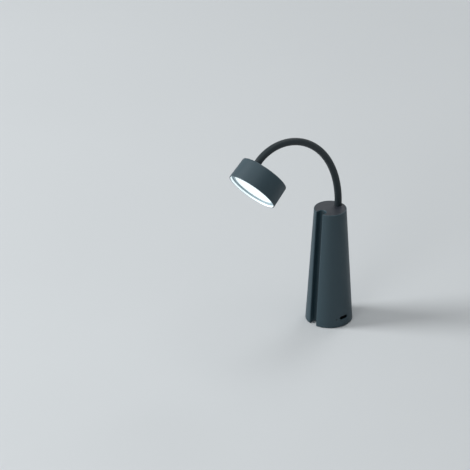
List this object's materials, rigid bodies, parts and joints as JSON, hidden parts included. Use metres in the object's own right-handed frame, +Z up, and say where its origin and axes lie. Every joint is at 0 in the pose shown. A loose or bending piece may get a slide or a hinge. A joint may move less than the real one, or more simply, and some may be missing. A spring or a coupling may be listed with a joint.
{
  "type": "torch desk lamp",
  "caption": "Cordless desk lamp with a tapered grooved battery base, a flexible arm from its top and a round tilted lamp head.",
  "frame": {"origin": "middle of the flat foot, on the surface that the lamp stands on", "axes": "+Z up along the base, -Y towards the groove and the lamp head, +X towards the charging port"},
  "size_m": [0.0648, 0.1856, 0.2783],
  "materials": {
    "slate_plastic": "fine matte grain",
    "cap_plastic": "fine matte grain",
    "arm_rubber": "smooth matte silicone",
    "foot_rubber": "matte",
    "black_plastic": "moulded",
    "steel": "bright",
    "brass": "turned",
    "cast_iron": "as cast",
    "aluminium": "stamped",
    "board_green": "solder mask",
    "board_white": "white solder mask on an aluminium board",
    "chip_black": "moulded",
    "cell_blue": "shrink-wrapped cell",
    "lead_red": "insulated wire",
    "white_plastic": "white",
    "clear_plastic": "clear",
    "diffuser_plastic": "opal, lit from behind",
    "grey_plastic": "satin"
  },
  "bodies": {
    "base": {"base_shell": "slate_plastic", "top_cap": "cap_plastic", "touch_pad": "brass", "base_plate": "black_plastic", "foot_pad": "foot_rubber", "base_screw_1": "steel", "base_screw_2": "steel", "base_screw_3": "steel", "ballast_weight": "cast_iron", "weight_screw_1": "steel", "weight_screw_2": "steel", "battery_cradle": "black_plastic", "cradle_screw_1": "steel", "cradle_screw_2": "steel", "battery_cell": "cell_blue", "base_lead": "lead_red", "battery_lead_1": "lead_red", "battery_lead_2": "lead_red", "main_board": "board_green", "board_screw_1": "steel", "board_screw_2": "steel", "usb_port": "steel", "charge_indicator": "clear_plastic", "indicator_led": "white_plastic", "lead_plug_1": "white_plastic", "lead_plug_2": "white_plastic", "board_chip_1": "chip_black", "board_chip_2": "chip_black", "arm_sleeve": "arm_rubber", "arm_lead": "lead_red", "arm_socket": "brass", "arm_lock_nut": "steel"},
    "link_01": {"arm_link_01": "steel"},
    "link_02": {"arm_link_02": "steel"},
    "link_03": {"arm_link_03": "steel"},
    "link_04": {"arm_link_04": "steel"},
    "link_05": {"arm_link_05": "steel"},
    "link_06": {"arm_link_06": "steel"},
    "link_07": {"arm_link_07": "steel"},
    "link_08": {"arm_link_08": "steel"},
    "link_09": {"arm_link_09": "steel"},
    "link_10": {"arm_link_10": "steel"},
    "link_11": {"arm_link_11": "steel"},
    "link_12": {"arm_link_12": "steel"},
    "link_13": {"arm_link_13": "steel"},
    "link_14": {"arm_link_14": "steel"},
    "head": {"head_ferrule": "brass", "head_housing": "slate_plastic", "head_lock_nut": "steel", "heat_sink": "aluminium", "led_board": "board_white", "head_screw_1": "steel", "head_screw_2": "steel", "head_screw_3": "steel", "head_lead": "lead_red", "light_frame": "white_plastic", "diffuser": "diffuser_plastic", "bezel_ring": "grey_plastic"}
  },
  "joints": [
    {"name": "arm_lower_bend", "type": "hinge", "parent": "base", "child": "link_01", "pos_m": [0, 0.0139, 0.1645], "axis": [1, 0, 0], "range_deg": [-16, 9], "deforming": ["arm_sleeve", "arm_lead"]},
    {"name": "arm_lower_bend_2", "type": "hinge", "parent": "link_01", "child": "link_02", "pos_m": [0, 0.01227, 0.1784], "axis": [1, 0, 0], "range_deg": [-16, 9]},
    {"name": "arm_side_bend", "type": "hinge", "parent": "link_02", "child": "link_03", "pos_m": [0, 0.00902, 0.19202], "axis": [0, 0.9576, 0.2882], "range_deg": [-15, 15], "deforming": ["arm_sleeve", "arm_lead"]},
    {"name": "arm_lower_bend_3", "type": "hinge", "parent": "link_03", "child": "link_04", "pos_m": [0, 0.00421, 0.20517], "axis": [1, 0, 0], "range_deg": [-16, 9]},
    {"name": "arm_lower_bend_4", "type": "hinge", "parent": "link_04", "child": "link_05", "pos_m": [0, -0.0021, 0.21767], "axis": [1, 0, 0], "range_deg": [-16, 9]},
    {"name": "arm_middle_bend", "type": "hinge", "parent": "link_05", "child": "link_06", "pos_m": [0, -0.00983, 0.22934], "axis": [1, 0, 0], "range_deg": [-16, 9], "deforming": ["arm_sleeve", "arm_lead"]},
    {"name": "arm_middle_bend_2", "type": "hinge", "parent": "link_06", "child": "link_07", "pos_m": [0, -0.01887, 0.24003], "axis": [1, 0, 0], "range_deg": [-16, 9]},
    {"name": "arm_side_bend_2", "type": "hinge", "parent": "link_07", "child": "link_08", "pos_m": [0, -0.02911, 0.24958], "axis": [0, 0.637, 0.7709], "range_deg": [-15, 15]},
    {"name": "arm_middle_bend_3", "type": "hinge", "parent": "link_08", "child": "link_09", "pos_m": [0, -0.04042, 0.25783], "axis": [1, 0, 0], "range_deg": [-16, 9]},
    {"name": "arm_middle_bend_4", "type": "hinge", "parent": "link_09", "child": "link_10", "pos_m": [0, -0.05266, 0.26463], "axis": [1, 0, 0], "range_deg": [-16, 9]},
    {"name": "arm_upper_bend", "type": "hinge", "parent": "link_10", "child": "link_11", "pos_m": [0, -0.06567, 0.26979], "axis": [1, 0, 0], "range_deg": [-18, 4], "deforming": ["arm_sleeve", "arm_lead"]},
    {"name": "arm_upper_bend_2", "type": "hinge", "parent": "link_11", "child": "link_12", "pos_m": [0, -0.07929, 0.27304], "axis": [1, 0, 0], "range_deg": [-18, 4]},
    {"name": "arm_side_bend_3", "type": "hinge", "parent": "link_12", "child": "link_13", "pos_m": [0, -0.09325, 0.27408], "axis": [0, -0.0222, 0.9998], "range_deg": [-15, 15]},
    {"name": "arm_upper_bend_3", "type": "hinge", "parent": "link_13", "child": "link_14", "pos_m": [0, -0.10715, 0.27243], "axis": [1, 0, 0], "range_deg": [-18, 4]},
    {"name": "arm_upper_bend_4", "type": "hinge", "parent": "link_14", "child": "head", "pos_m": [0, -0.12028, 0.26755], "axis": [1, 0, 0], "range_deg": [-18, 4]}
  ],
  "couplings": [
    {"joint": "arm_lower_bend_2", "follows": "arm_lower_bend", "ratio": 1},
    {"joint": "arm_lower_bend_3", "follows": "arm_lower_bend", "ratio": 1},
    {"joint": "arm_lower_bend_4", "follows": "arm_lower_bend", "ratio": 1},
    {"joint": "arm_middle_bend_2", "follows": "arm_middle_bend", "ratio": 1},
    {"joint": "arm_side_bend_2", "follows": "arm_side_bend", "ratio": 1},
    {"joint": "arm_middle_bend_3", "follows": "arm_middle_bend", "ratio": 1},
    {"joint": "arm_middle_bend_4", "follows": "arm_middle_bend", "ratio": 1},
    {"joint": "arm_upper_bend_2", "follows": "arm_upper_bend", "ratio": 1},
    {"joint": "arm_side_bend_3", "follows": "arm_side_bend", "ratio": 1},
    {"joint": "arm_upper_bend_3", "follows": "arm_upper_bend", "ratio": 1},
    {"joint": "arm_upper_bend_4", "follows": "arm_upper_bend", "ratio": 1}
  ]
}
